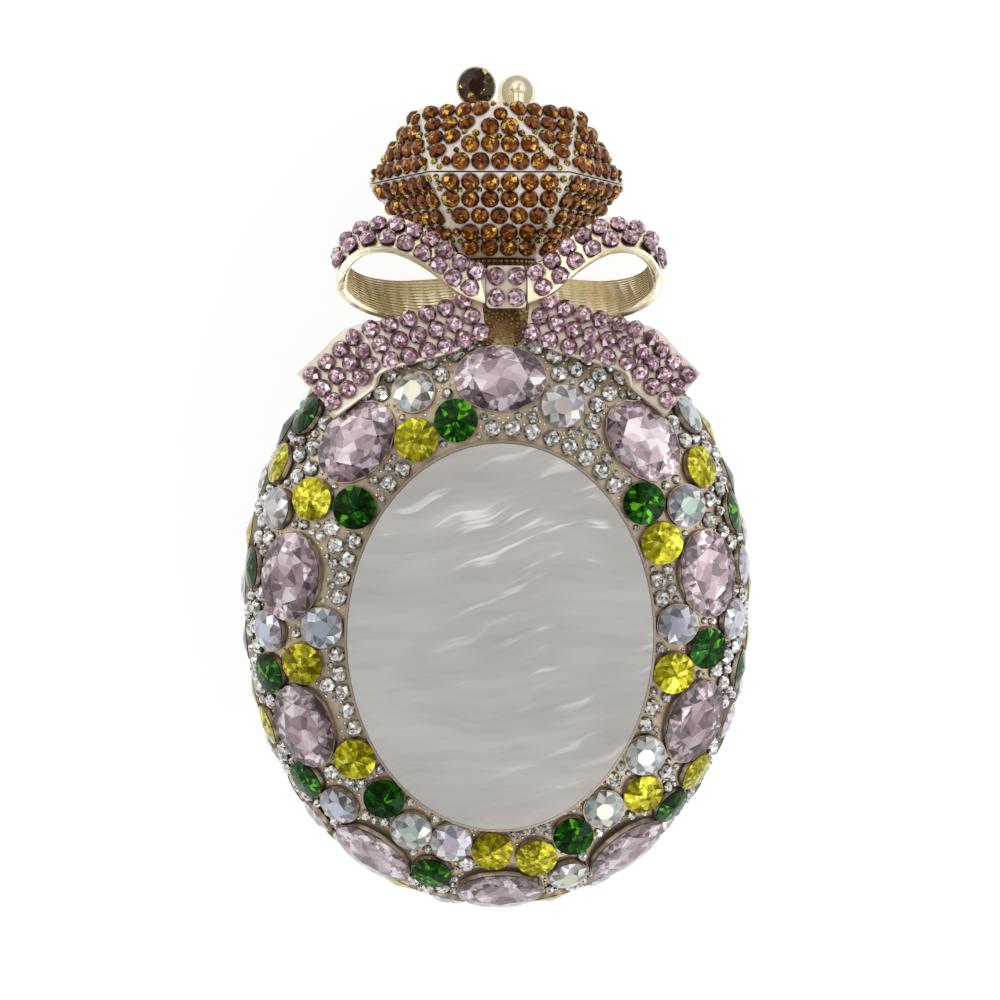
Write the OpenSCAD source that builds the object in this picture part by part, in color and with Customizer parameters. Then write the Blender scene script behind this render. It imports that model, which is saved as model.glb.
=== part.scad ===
// Crystal clutch in the shape of a perfume bottle, lying on its back.
// Two cast half shells hinged at the bottle's foot, a faceted stopper split
// with them, a kiss lock on top and a stone-set bow in front of the neck.
// Z = 0 is the pearl face that the clutch rests on, X = Y = 0 is its centre,
// +Y points to the stopper and +Z out of the front.

/* [Body] */
// Width of the metal body at the parting plane
body_w = 108; // [100:1:118]
// Length of the metal body, without neck and stopper
body_l = 132; // [124:1:144]
// Distance from the parting plane to each pearl face
half_depth = 27; // [25:0.5:31]
// How far the outline's centre lies above the pearl's centre
outline_shift = 1.6; // [0:0.1:3]
// Wall of the cast shells
shell_wall = 1.8; // [1.4:0.1:2.4]
// Wall of the moulded lining
lining_wall = 0.8; // [0.6:0.1:1.2]

/* [Pearl panel] */
// Width of the mother-of-pearl oval
pearl_w = 62; // [54:1:66]
// Length of the mother-of-pearl oval
pearl_l = 80.6; // [70:0.2:86]
// Thickness of the mother-of-pearl sheet
pearl_t = 1.9; // [1.2:0.1:2]
// Wall of the bezel around it
bezel_t = 0.5; // [0.4:0.05:1]
// How far the bezel stands above the shell's flat field
bezel_h = 2.1; // [1.6:0.1:2.1]

/* [Frame and hinge] */
// Height of each half of the mouth frame
frame_h = 3.2; // [2.8:0.1:4]
// Thickness of the mouth frame
frame_t = 2.6; // [2.5:0.1:3.2]
// Gap between the two halves when closed
parting_gap = 0.3; // [0.2:0.05:0.5]
// Length of the row of hinge knuckles
hinge_l = 26; // [20:1:32]
// Diameter of a hinge knuckle
knuckle_d = 3.4; // [3:0.1:3.8]
// Diameter of the hinge pin
pin_d = 1.5; // [1.2:0.1:1.8]

/* [Neck] */
// Width of the neck under the stopper
neck_w = 15; // [13:0.5:17]
// Width of the neck's foot at the parting plane
neck_foot_w = 20; // [18:0.5:24]
// Wall of the neck
neck_wall = 1.4; // [1:0.1:1.8]
// Gap from the body's outline up to the bead band
neck_l = 7.2; // [6:0.2:9]
// Height of the bead band
band_h = 2.2; // [1.8:0.1:3]

/* [Stopper] */
// Height of the stopper below its girdle
stopper_base_h = 15.6; // [13:0.2:18]
// Height of the stopper above its girdle
crown_h = 14; // [11:0.2:16]
// Width across the corners of the girdle
girdle_w = 54.4; // [48:0.4:60]
// Width across the corners of the stopper's foot
foot_w = 30.2; // [26:0.4:34]
// Width across the corners of the flat top
table_w = 36.8; // [32:0.4:42]
// Wall of the stopper
stopper_wall = 2; // [1.6:0.1:2.6]
// Seam between the stopper's two tiers
seam = 0.3; // [0.2:0.05:0.5]

/* [Kiss lock] */
// Diameter of a knob's cup
knob_d = 8.2; // [7:0.1:8.4]
// Distance between the two knobs' centres
knob_pitch = 8.7; // [8.7:0.1:10]
// Diameter of a knob's post
post_d = 2.4; // [2:0.1:3]
// Depth of a knob's cup
cup_h = 3; // [2.4:0.1:3.6]

/* [Bow] */
// Width of the knot
knot_w = 8; // [7.2:0.2:9]
// Height of the knot
knot_l = 8.2; // [7:0.2:9]
// Length of a loop from the knot to its end
loop_l = 26.7; // [24:0.1:28]
// Height that a loop rises over the knot's centre
loop_h = 12; // [10:0.2:14]
// Depth from the back to the front of a loop
loop_d = 6; // [5:0.2:7]
// Width of the loop's ribbon
ribbon_w = 8.8; // [8:0.1:9.6]
// Thickness of the cast ribbon
ribbon_t = 1.7; // [1.4:0.1:2]
// Length of a tail measured along X
tail_l = 36.3; // [34:0.1:37]
// Drop of a tail measured along Y
tail_h = 24; // [21:0.5:26]

/* [Stones] */
// Length of an oval stone
oval_l = 17.8; // [15:0.2:18]
// Width of an oval stone
oval_w = 12.8; // [11:0.1:13]
// Diameter of the round coloured stones
round_d = 8; // [7:0.1:8.1]
// Diameter of the small clear stones
clear_d = 3.4; // [3:0.1:3.6]
// Diameter of the tiny clear stones between them
tiny_d = 2.1; // [1.9:0.1:2.6]
// Diameter of the stopper's amber stones
amber_d = 3.55; // [3.2:0.05:3.6]
// Diameter of the bow's pink stones
pink_d = 3.5; // [3:0.1:3.7]
// Height of a large stone's top above the shell
stone_h = 2; // [1.6:0.1:2]
// Height of a small stone
small_h = 1.3; // [1:0.1:1.6]

/* [Hidden] */

gold = "#d9c0a3";
dark_gold = "#b08a52";
pearl_white = "#e6e4e0";
satin = "#cdb79a";
rose = "#dcb9c6";
green = "#1f7a28";
yellow = "#c9be1e";
aurora = "#c9cbe6";
crystal = "#e4e6e6";
amber = "#8a4310";
pink = "#c98ca6";

// Roundness of true curves, and steps of the lofted ones
$fn = 40;
skin_segments = 60;
skin_steps = 9;
inner_steps = 7;
lining_segments = 44;
lining_steps = 5;
arc_steps = 120;

// Clearances
play = 0.1;
stone_lift = 0.1;
collet_play = 0.05;
pin_play = 0.04;
run_gap = 0.35;
over = 1;
probe = 0.01;

// Body curves: a superellipse outline, and a superellipse section from the
// flat field down to the parting plane
outline_power = 2.1;
section_power = 2.5;
field_w = pearl_w + 2 * (bezel_t + play);
field_l = pearl_l + 2 * (bezel_t + play);
field_h = half_depth - play - bezel_h;
parting = parting_gap / 2;
body_top = body_l / 2 + outline_shift;
body_foot = outline_shift - body_l / 2;

function mix(a, b, t) = a + (b - a) * t;
function unit(v) = v / norm(v);
function arc_pow(x, power) = sign(x) * pow(abs(x), 2 / power);
// Table from the length run along points to each point's mark
function run_table(points, marks) =
    let (
        last = len(points) - 1,
        steps = [for (i = [1 : last]) norm(points[i] - points[i - 1])]
    )
    [for (i = 0, run = 0; i <= last; run = run + (i < last ? steps[i] : 0), i = i + 1)
        [run, marks[i]]];

// Point of the body's skin at an angle round the outline and a share of the
// way from the flat field (0) to the parting plane (1)
function skin(angle, share, inset = 0) =
    let (
        power = mix(2, outline_power, share),
        semi_x = mix(field_w, body_w, share) / 2 - inset,
        semi_y = mix(field_l, body_l, share) / 2 - inset,
        rise = pow(max(0, 1 - pow(share, section_power)), 1 / section_power)
    )
    [
        semi_x * arc_pow(cos(angle), power),
        semi_y * arc_pow(sin(angle), power) + outline_shift * share,
        (field_h - inset) * rise
    ];
function share_at(h, inset = 0) =
    pow(1 - pow(h / (field_h - inset), section_power), 1 / section_power);
function skin_normal(angle, share) =
    let (
        around = skin(angle + probe, share) - skin(angle - probe, share),
        down = skin(angle, min(share + probe / 2, 1))
            - skin(angle, max(share - probe / 2, 0))
    )
    unit(cross(down, around));
function skin_ring(share, inset, segments) =
    [for (i = [0 : segments - 1]) skin(i * 360 / segments, share, inset)];
// Shares of the rings from the field to the height h, closer where it bends
function ring_shares(h, inset, steps) =
    let (last = asin(pow(share_at(h, inset), section_power / 2)))
    [for (k = [0 : steps]) pow(sin(last * k / steps), 2 / section_power)];

// Closed solid through rings of equally many points, an even number, with flat
// ends in strips from side to side, so that a hollow outline closes as well
module loft(rings) {
    n = len(rings[0]);
    last = len(rings) - 1;
    polyhedron(
        points = [for (ring = rings) each ring],
        faces = concat(
            [for (i = [0 : n / 2 - 2]) [i, i + 1, n - 2 - i, n - 1 - i]],
            [for (i = [0 : n / 2 - 2])
                [last * n + n - 1 - i, last * n + n - 2 - i, last * n + i + 1, last * n + i]],
            [for (r = [0 : last - 1], i = [0 : n - 1]) each
                let (j = (i + 1) % n)
                [
                    [r * n + j, r * n + i, (r + 1) * n + i],
                    [r * n + j, (r + 1) * n + i, (r + 1) * n + j]
                ]
            ]
        )
    );
}

// Children's own +Z along the normal and +X along the tangent
module place(point, normal, tangent) {
    z = unit(normal);
    y = unit(cross(z, tangent));
    x = cross(y, z);
    multmatrix([
        [x.x, y.x, z.x, point.x],
        [x.y, y.y, z.y, point.y],
        [x.z, y.z, z.z, point.z],
        [0, 0, 0, 1]
    ]) children();
}

// The two halves are drawn above the parting plane and set in place here
module front() {
    translate([0, 0, half_depth]) children();
}
module rear() {
    translate([0, 0, half_depth]) mirror([0, 0, 1]) children();
}
module above_parting(reach) {
    side = 2 * reach;
    intersection() {
        children();
        translate([-side, -side, parting]) cube([2 * side, 2 * side, side]);
    }
}

// Hollow half body between two insets, open at the height h
module half_bowl(outer, inner, h, segments, outer_steps, steps) {
    outside = ring_shares(h, outer, outer_steps);
    inside = ring_shares(h, inner, steps);
    loft(concat(
        [for (share = inside) skin_ring(share, inner, segments)],
        [for (k = [outer_steps : -1 : 0]) skin_ring(outside[k], outer, segments)]
    ));
}

module half_shell() {
    half_bowl(0, shell_wall, frame_h, skin_segments, skin_steps, inner_steps);
}

lining_gap = 0.3;
module half_lining() {
    outer = shell_wall + lining_gap;
    half_bowl(outer, outer + lining_wall, frame_h + play, lining_segments, lining_steps, lining_steps);
}

// Mouth frame, with coves for its own knuckles and clearance for the others
knuckle_count = 5;
knuckle_gap = 0.2;
knuckle_l = hinge_l / knuckle_count - knuckle_gap;
hinge_out = 0.2;
hinge_y = body_foot - hinge_out;
function knuckle_x(i) = (i - (knuckle_count - 1) / 2) * hinge_l / knuckle_count;
rear_knuckle_ids = [0, 2, 4];
front_knuckle_ids = [1, 3];

function flat_ring(share, inset) =
    [for (p = skin_ring(share, inset, skin_segments)) [p.x, p.y]];

module along_x(x, l, d) {
    translate([x - l / 2, hinge_y, 0]) rotate([0, 90, 0]) cylinder(h = l, d = d);
}

module half_frame(own, other) {
    share = share_at(frame_h);
    difference() {
        translate([0, 0, parting]) linear_extrude(frame_h - parting) difference() {
            polygon(flat_ring(share, 0));
            polygon(flat_ring(share, frame_t));
        }
        for (i = own) along_x(knuckle_x(i), knuckle_l + knuckle_gap, knuckle_d + 2 * collet_play);
        for (i = other) along_x(knuckle_x(i), knuckle_l + 2 * knuckle_gap, knuckle_d + 2 * run_gap);
    }
}

module knuckles(ids) {
    for (i = ids) difference() {
        along_x(knuckle_x(i), knuckle_l, knuckle_d);
        along_x(knuckle_x(i), knuckle_l + over, pin_d + 2 * pin_play);
    }
}

pin_head_l = 0.6;
pin_head_d = 2.6;
module pin() {
    along_x(0, hinge_l, pin_d);
    for (side = [-1, 1]) along_x(side * (hinge_l + pin_head_l) / 2, pin_head_l, pin_head_d);
}

// Pearl sheet in its bezel on the flat field
module oval(w, l) {
    polygon([for (i = [0 : skin_segments - 1])
        let (a = i * 360 / skin_segments) [w / 2 * cos(a), l / 2 * sin(a)]]);
}
module half_bezel() {
    translate([0, 0, field_h]) linear_extrude(bezel_h) difference() {
        oval(pearl_w + 2 * (bezel_t + play), pearl_l + 2 * (bezel_t + play));
        oval(pearl_w + 2 * play, pearl_l + 2 * play);
    }
}
module half_pearl() {
    translate([0, 0, half_depth - pearl_t]) linear_extrude(pearl_t) oval(pearl_w, pearl_l);
}

// Neck: a collar that flares from a half circle under the stopper to a foot
// on the shoulder. The foot's curve is an ellipse in angle and height. The
// outer face swells more than the inner one, which follows the skin.
neck_steps = 5;
neck_segments = 18;
neck_foot_share = 0.61;
neck_waist_share = 0.46;
neck_swell_share = 0.8;
neck_hollow_share = 0.63;
neck_lift = 0.2;
neck_top = body_top + neck_l;
neck_foot_h = skin(90, neck_foot_share).z;
function neck_angle(w) = asin(pow(w / body_w, outline_power / 2));
function neck_point(turn, rise, inset) =
    let (
        reach = neck_w / 2 - inset,
        swell = mix(neck_swell_share, neck_hollow_share, inset / neck_wall),
        spread = neck_angle(neck_foot_w - 2 * inset),
        foot_angle = 90 - spread * cos(turn),
        foot_share = share_at((neck_foot_h - inset) * sin(turn)),
        foot = skin(foot_angle, foot_share) + neck_lift * skin_normal(foot_angle, foot_share),
        bend = [
            reach * cos(turn),
            mix(foot.y, neck_top, neck_waist_share),
            mix(reach * sin(turn), foot.z, swell)
        ],
        top = [reach * cos(turn), neck_top, reach * sin(turn)],
        p = foot * pow(1 - rise, 2) + bend * 2 * rise * (1 - rise) + top * pow(rise, 2)
    )
    [p.x, p.y, max(p.z, parting)];
module half_neck() {
    loft([for (k = [0 : neck_segments])
        let (turn = 180 * k / neck_segments)
        concat(
            [for (s = [0 : neck_steps]) neck_point(turn, s / neck_steps, 0)],
            [for (s = [neck_steps : -1 : 0]) neck_point(turn, s / neck_steps, neck_wall)]
        )
    ]);
}

// Band between neck and stopper, with two rows of beads soldered round it
bead_d = 1.05;
bead_gap = 0.1;
bead_row_count = 2;
module half_bead_band() {
    reach = (neck_w + bead_d) / 2 + stone_lift / 2;
    count = floor(PI * reach / (bead_d + bead_gap));
    above_parting(body_w)
        translate([0, neck_top + band_h, 0]) rotate([90, 0, 0]) cylinder(h = band_h, d = neck_w);
    for (row = [0 : bead_row_count - 1], k = [0 : count - 1]) {
        turn = (k + 1 / 2) * 180 / count;
        translate([reach * cos(turn), neck_top + (row + 1 / 2) * band_h / bead_row_count, reach * sin(turn)])
            sphere(d = bead_d);
    }
}

// Stopper: a six-sided base, and a crown whose top is turned by half a side
stopper_y = neck_top + band_h;
girdle_y = stopper_y + stopper_base_h;
table_y = girdle_y + crown_h;
side_count = 6;
side_angle = 360 / side_count;
function hexagon(w, y, turn = 0) =
    [for (i = [0 : side_count - 1])
        [w / 2 * cos(i * side_angle + turn), y, w / 2 * sin(i * side_angle + turn)]];
module half_stopper_base() {
    thin = 2 * stopper_wall / cos(side_angle / 2);
    slope = (girdle_w - foot_w) / stopper_base_h;
    above_parting(body_w) difference() {
        loft([hexagon(girdle_w, girdle_y - seam / 2), hexagon(foot_w, stopper_y)]);
        loft([
            hexagon(girdle_w - thin + over * slope, girdle_y - seam / 2 + over),
            hexagon(foot_w - thin + stopper_wall * slope, stopper_y + stopper_wall)
        ]);
    }
}
module half_stopper_crown() {
    thin = 2 * stopper_wall / cos(side_angle / 2);
    above_parting(body_w) difference() {
        loft([hexagon(table_w, table_y, -side_angle / 2), hexagon(girdle_w, girdle_y + seam / 2)]);
        loft([
            hexagon(table_w - thin, table_y - stopper_wall, -side_angle / 2),
            hexagon(girdle_w - thin, girdle_y + seam / 2),
            hexagon(girdle_w - thin, girdle_y + seam / 2 - over)
        ]);
    }
}

// Knob of the kiss lock: it stands on its own half and its cup reaches over the
// other, beside that half's cup
knob_lift = 1.1;
knob_y = table_y + knob_d / 2 + knob_lift;
cup_gap = 1;
post_z = 2.8;
elbow_d = post_d + 0.8;
cup_back_share = 0.8;
cup_rim = 0.5;
cup_floor = 0.8;
function cup_width(depth) = knob_d * mix(cup_back_share, 1, depth / cup_h);
module half_knob(x) {
    union() {
        translate([x, table_y, post_z]) rotate([-90, 0, 0])
            cylinder(h = knob_y - table_y, d = post_d);
        translate([x, knob_y, post_z]) sphere(d = elbow_d);
        translate([x, knob_y, -cup_gap - cup_floor / 2])
            cylinder(h = post_z + cup_gap + cup_floor / 2, d = post_d);
        translate([x, knob_y, -cup_gap]) mirror([0, 0, 1]) difference() {
            cylinder(h = cup_h, d1 = cup_width(0), d2 = cup_width(cup_h));
            translate([0, 0, cup_floor]) cylinder(
                h = cup_h,
                d1 = cup_width(cup_floor) - 2 * cup_rim,
                d2 = cup_width(cup_floor + cup_h) - 2 * cup_rim
            );
        }
    }
}
knob_table_share = 0.5;
module half_knob_stone(x) {
    seat = cup_floor + play;
    height = cup_h - cup_floor + stone_h / 2;
    width = cup_width(seat + girdle_share * height) - 2 * (cup_rim + play);
    translate([x, knob_y, -cup_gap - seat]) mirror([0, 0, 1])
        cut_stone(width, height, knob_table_share);
}

// Stones. A round stone rises from its seat to a girdle and closes to a flat
// table, which is next to a point on the green and yellow ones
seat_share = 0.62;
girdle_share = 0.42;
girdle_edge_share = 0.1;
module cut_stone(d, h, table_share) {
    rotate_extrude() polygon([
        [0, 0],
        [seat_share * d / 2, 0],
        [d / 2, girdle_share * h],
        [d / 2, (girdle_share + girdle_edge_share) * h],
        [table_share * d / 2, h],
        [0, h]
    ]);
}
small_top_share = 0.55;
module small_stone(d) {
    cylinder(h = small_h, d1 = d, d2 = small_top_share * d);
}
collet_wall = 0.35;
collet_h = 0.9;
module round_collet(d) {
    difference() {
        cylinder(h = collet_h, d = d + 2 * (collet_wall + collet_play));
        translate([0, 0, -over]) cylinder(h = collet_h + 2 * over, d = d + 2 * collet_play);
    }
}
oval_segments = 20;
oval_table_share = 0.58;
function oval_ring(grow, z) =
    [for (i = [oval_segments - 1 : -1 : 0])
        let (a = (i + 1 / 2) * 360 / oval_segments)
        [oval_l / 2 * grow * cos(a), oval_w / 2 * grow * sin(a), z]];
module oval_stone() {
    loft([
        oval_ring(seat_share, 0),
        oval_ring(1, girdle_share * stone_h),
        oval_ring(1, (girdle_share + girdle_edge_share) * stone_h),
        oval_ring(oval_table_share, stone_h)
    ]);
}
module oval_collet() {
    difference() {
        linear_extrude(collet_h) collet_outline(collet_wall + collet_play);
        translate([0, 0, -over]) linear_extrude(collet_h + 2 * over) collet_outline(collet_play);
    }
}
module collet_outline(grow) {
    polygon([for (p = oval_ring(1, 0))
        [p.x * (1 + 2 * grow / oval_l), p.y * (1 + 2 * grow / oval_w)]]);
}

// Ring of ten ovals, as angle and share on the skin
ovals = [
    [90, 0.44], [132, 0.47], [167.5, 0.515], [200.5, 0.5], [236, 0.68],
    [270, 0.64], [304, 0.68], [339.5, 0.5], [12.5, 0.515], [48, 0.47]
];
// Round stones of the face: angle, share and colour, as the photograph has them
face_shares = [
    [113, 0.5, "A"], [104, 0.19, "G"], [117.5, 0.19, "Y"], [149.5, 0.52, "Y"],
    [144, 0.19, "G"], [156.5, 0.77, "A"], [177, 0.205, "A"], [186, 0.39, "Y"],
    [180, 0.69, "A"], [188.5, 0.72, "G"], [213.5, 0.19, "Y"], [212.5, 0.71, "G"],
    [221.5, 0.57, "A"], [228, 0.19, "G"], [240.5, 0.26, "A"], [253.5, 0.19, "A"],
    [251.5, 0.55, "G"], [267.5, 0.2, "Y"], [72, 0.33, "A"], [37, 0.19, "G"],
    [33, 0.74, "Y"], [29, 0.49, "A"], [25, 0.19, "Y"], [3, 0.205, "A"],
    [356.5, 0.49, "G"], [1, 0.75, "A"], [350.5, 0.2, "Y"], [326.5, 0.19, "A"],
    [317.5, 0.38, "Y"], [328.5, 0.74, "Y"], [319, 0.71, "G"], [306.5, 0.2, "A"],
    [294, 0.24, "G"], [281, 0.31, "Y"], [288, 0.6, "A"]
];
// Two staggered belts round the sides, coloured in turn
belt_shares = [0.895, 0.98];
belt_count = 32;
belt_colours = ["GAGYAGYAYAYAGYAGYAY", "YAGYAGYYAGAYGAYAG"];

stone_gap = 0.45;
round_gap = 0.5;
// Angle at which the rows of small stones are spaced
fill_angle = 45;

// Angles of a count of places at equal distances along a row
function row_angles(share, count, phase) =
    let (
        marks = [for (i = [0 : arc_steps]) i * 360 / arc_steps],
        table = run_table([for (m = marks) skin(m, share)], marks),
        total = table[arc_steps][0]
    )
    [for (k = [0 : count - 1]) lookup((k + phase) * total / count, table)];

// Where a stone keeps clear of the neck, of the ovals and of the round stones
function off_neck(angle, share, d) =
    let (grow = d / 2 + stone_gap)
    pow((angle - 90) / neck_angle(neck_foot_w + 2 * grow), 2)
        + pow(skin(angle, share).z / (neck_foot_h + grow), 2) > 1;
// Round stones that together cover each oval: the largest circles inside it
oval_cover_shares = [-1, -0.5, 0, 0.5, 1];
function oval_covers() =
    let (
        focus = pow(oval_l / 2, 2) - pow(oval_w / 2, 2),
        reach = focus / (oval_l / 2)
    )
    [for (o = ovals)
        let (
            q = skin(o[0], o[1]),
            tangent = unit(skin(o[0] + probe, o[1]) - q)
        )
        for (c = oval_cover_shares)
            [o[0], o[1], q + tangent * c * reach, oval_w * sqrt(1 - pow(c * reach, 2) / focus)]
    ];
function clear_of(p, d, stones, gap) =
    len([for (s = stones) if (norm(p - s[2]) < (d + s[3]) / 2 + gap) 1]) == 0;

// A stone is its angle, share, point and diameter, and its colour if it has one
function face_rounds() =
    [for (f = face_shares) [f[0], f[1], skin(f[0], f[1]), round_d, f[2]]];
function belt_rounds(taken) =
    [for (b = [0 : len(belt_shares) - 1])
        let (
            share = belt_shares[b],
            colours = belt_colours[b],
            angles = row_angles(share, belt_count, b / 2)
        )
        for (k = [0 : belt_count - 1])
            let (p = skin(angles[k], share))
            if (off_neck(angles[k], share, round_d) && clear_of(p, round_d, taken, round_gap))
                [angles[k], share, p, round_d, colours[k % len(colours)]]
    ];
function all_rounds() =
    let (face = face_rounds()) concat(face, belt_rounds(concat(face, oval_covers())));

// Small stones fill what is left, the larger first: fine rows of candidates
// run from the field outwards, and each is kept if it clears those before it
fill_step = 1.1;
fill_count = 300;
clear_gap = 0.1;
function candidates(d) =
    let (
        lowest = share_at(frame_h + play + d / 2),
        marks = [for (i = [0 : arc_steps]) lowest * sin(90 * i / arc_steps)],
        table = run_table([for (m = marks) skin(fill_angle, m)], marks),
        start = d / 2 + collet_wall,
        span = table[arc_steps][0] - start,
        rows = floor(span / fill_step)
    )
    [for (r = [0 : rows])
        let (share = lookup(start + r * span / rows, table))
        for (a = row_angles(share, fill_count, (r % 2) / 2))
            if (off_neck(a, share, d)) [a, share, skin(a, share), d]
    ];
function fill(places, kept) =
    [for (
        i = 0, list = kept;
        i <= len(places);
        list = i < len(places) && clear_of(places[i][2], places[i][3], list, clear_gap)
            ? concat(list, [places[i]]) : list,
        i = i + 1
    ) if (i == len(places)) each list];
function clear_places() =
    let (
        rounds = all_rounds(),
        taken = concat(oval_covers(), rounds),
        free = [for (d = [clear_d, tiny_d])
            [for (c = candidates(d)) if (clear_of(c[2], d, taken, stone_gap)) c]]
    )
    fill(free[1], fill(free[0], []));

module on_skin(angle, share) {
    p = skin(angle, share);
    n = skin_normal(angle, share);
    place(p + stone_lift * n, n, skin(angle + probe, share) - p) children();
}
module half_ovals() {
    for (o = ovals) on_skin(o[0], o[1]) oval_stone();
}
module half_rounds(colour, table_share) {
    for (r = all_rounds()) if (r[4] == colour)
        on_skin(r[0], r[1]) cut_stone(round_d, stone_h, table_share);
}
module half_collets() {
    for (r = all_rounds()) on_skin(r[0], r[1]) round_collet(round_d);
    for (o = ovals) on_skin(o[0], o[1]) oval_collet();
}
module half_clear_stones() {
    for (c = clear_places()) on_skin(c[0], c[1]) small_stone(c[3]);
}
aurora_table_share = 0.45;
point_table_share = 0.06;

// Rows of stones on a flat facet, from its wide edge a-b to its edge c-d. The
// stones of a row stand apart by the gap and the rows by the row gap; a smaller
// stone closes each end of a row where there is room for one.
amber_gap = 0.3;
amber_row_gap = 0.1;
amber_pitch = amber_d + amber_gap;
amber_row_pitch = amber_d + amber_row_gap;
end_d_min = 1.5;
end_d_share = 0.8;
facet_edge = 0.2;
module facet_stones(a, b, c, d, normal) {
    height = norm((c + d) / 2 - (a + b) / 2);
    narrowing = (norm(b - a) - norm(d - c)) / 2 / height;
    lean = sqrt(1 + pow(narrowing, 2));
    rows = floor((height - facet_edge) / amber_row_pitch);
    along = unit(b - a);
    for (r = [0 : rows - 1]) {
        t = (r + 1 / 2) * amber_row_pitch / height + facet_edge / height / 2;
        half = (mix(norm(b - a), norm(d - c), t) - facet_edge * lean) / 2;
        count = floor((2 * half - amber_d * lean) / amber_pitch) + 1;
        middle = mix((a + b) / 2, (c + d) / 2, t);
        if (count > 0) {
            for (k = [0 : count - 1])
                facet_stone(middle + along * (k - (count - 1) / 2) * amber_pitch, normal, along, amber_d);
            used = ((count - 1) * amber_pitch + amber_d) / 2 + amber_row_gap;
            end_d = min(2 * (half - used) / (1 + lean), end_d_share * amber_d);
            if (end_d > end_d_min) for (side = [-1, 1])
                facet_stone(middle + side * along * (used + end_d / 2), normal, along, end_d);
        }
    }
}
module facet_stone(p, normal, along, d) {
    if (p.z > parting + d / 2) place(p + stone_lift * normal, normal, along) small_stone(d);
}
function facet_normal(a, b, c, centre) =
    let (n = unit(cross(b - a, c - a))) n * (a - centre) > 0 ? n : -n;
module half_base_stones() {
    top = hexagon(girdle_w, girdle_y - seam / 2);
    foot = hexagon(foot_w, stopper_y);
    centre = [0, girdle_y, 0];
    for (i = [0 : side_count / 2 - 1])
        facet_stones(top[i], top[i + 1], foot[i], foot[i + 1],
            facet_normal(top[i], top[i + 1], foot[i], centre));
}
module half_crown_stones() {
    low = hexagon(girdle_w, girdle_y + seam / 2);
    high = hexagon(table_w, table_y, side_angle / 2);
    centre = [0, girdle_y, 0];
    for (i = [0 : side_count / 2 - 1])
        facet_stones(low[i], low[i + 1], high[i], high[i],
            facet_normal(low[i], low[i + 1], high[i], centre));
    for (i = [0 : side_count / 2]) {
        before = high[(i + side_count - 1) % side_count];
        facet_stones(before, high[i], low[i], low[i],
            facet_normal(before, high[i], low[i], centre));
    }
}

// Bow. A ribbon is a list of stations, each with its two edge points
knot_x = 1.2;
knot_drop = 4.1;
knot_y = neck_top - knot_drop;
knot_z = 20.3;
loop_gap = 0.3;
// Loop: along, up, out, tilt of the width from Z towards -Y, share of width
loop_shares = [
    [0, 0.02, 0.42, 85, 0.78],
    [0.19, 0.22, 0.53, 75, 0.9],
    [0.41, 0.61, 0.53, 62, 0.96],
    [0.64, 0.83, 0.37, 50, 1],
    [0.86, 0.76, 0.2, 42, 1],
    [0.985, 0.46, 0.03, 38, 1],
    [1, 0.13, -0.2, 38, 1],
    [0.88, -0.09, -0.45, 45, 1],
    [0.66, -0.21, -0.62, 58, 1],
    [0.39, -0.22, -0.62, 70, 1],
    [0.15, -0.14, -0.55, 80, 0.85],
    [0, -0.06, -0.47, 85, 0.76]
];
function loop_stations(side) =
    [for (s = loop_shares)
        let (
            centre = [
                side * (loop_l * s[0] + knot_w / 2 + loop_gap) + knot_x * (1 - s[0]),
                knot_y + loop_h * s[1],
                knot_z + loop_d * s[2]
            ],
            half = [0, -sin(s[3]), cos(s[3])] * ribbon_w / 2 * s[4]
        )
        [centre - half, centre + half]
    ];
// Tail: upper and lower edge, each along, down and out of the knot
tail_d = 4;
tail_shares = [
    [[0.02, 0.06, -0.1], [0.0, 0.34, 0.2]],
    [[0.19, 0.12, 0.05], [0.12, 0.5, 0.65]],
    [[0.36, 0.2, 0.2], [0.28, 0.58, 0.85]],
    [[0.53, 0.27, 0.25], [0.46, 0.65, 0.95]],
    [[0.66, 0.31, 0.1], [0.55, 0.71, 1.1]],
    [[0.76, 0.37, -0.3], [0.58, 0.82, 0.75]],
    [[0.88, 0.55, -0.35], [0.68, 0.94, 0.8]],
    [[1, 0.72, -0.25], [0.78, 1.05, 0.95]]
];
function tail_stations(side) =
    [for (s = tail_shares)
        [for (e = s) [
            side * (tail_l * e[0] + knot_w / 2 + loop_gap) + knot_x * (1 - e[0]),
            knot_y - tail_h * e[1],
            knot_z + tail_d * e[2]
        ]]
    ];

// Smooth curve through the stations
function spline(list, u) =
    let (
        last = len(list) - 1,
        i = min(floor(u), last - 1),
        f = u - i,
        p0 = list[max(i - 1, 0)],
        p1 = list[i],
        p2 = list[i + 1],
        p3 = list[min(i + 2, last)]
    )
    p1 + (p2 - p0) * f / 2
        + (p0 - 2.5 * p1 + 2 * p2 - p3 / 2) * pow(f, 2)
        + (1.5 * (p1 - p2) + (p3 - p0) / 2) * pow(f, 3);
function edge_at(stations, edge, u) = spline([for (s = stations) s[edge]], u);
function ribbon_run(stations, u) =
    let (
        last = len(stations) - 1,
        lo = max(u - probe, 0),
        hi = min(u + probe, last)
    )
    unit(edge_at(stations, 0, hi) + edge_at(stations, 1, hi)
        - edge_at(stations, 0, lo) - edge_at(stations, 1, lo));
function ribbon_across(stations, u) =
    let (
        run = ribbon_run(stations, u),
        width = edge_at(stations, 1, u) - edge_at(stations, 0, u)
    )
    unit(width - run * (run * width));
function ribbon_normal(stations, u, side) =
    -side * cross(ribbon_run(stations, u), ribbon_across(stations, u));
ribbon_bevel = 0.4;
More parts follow.
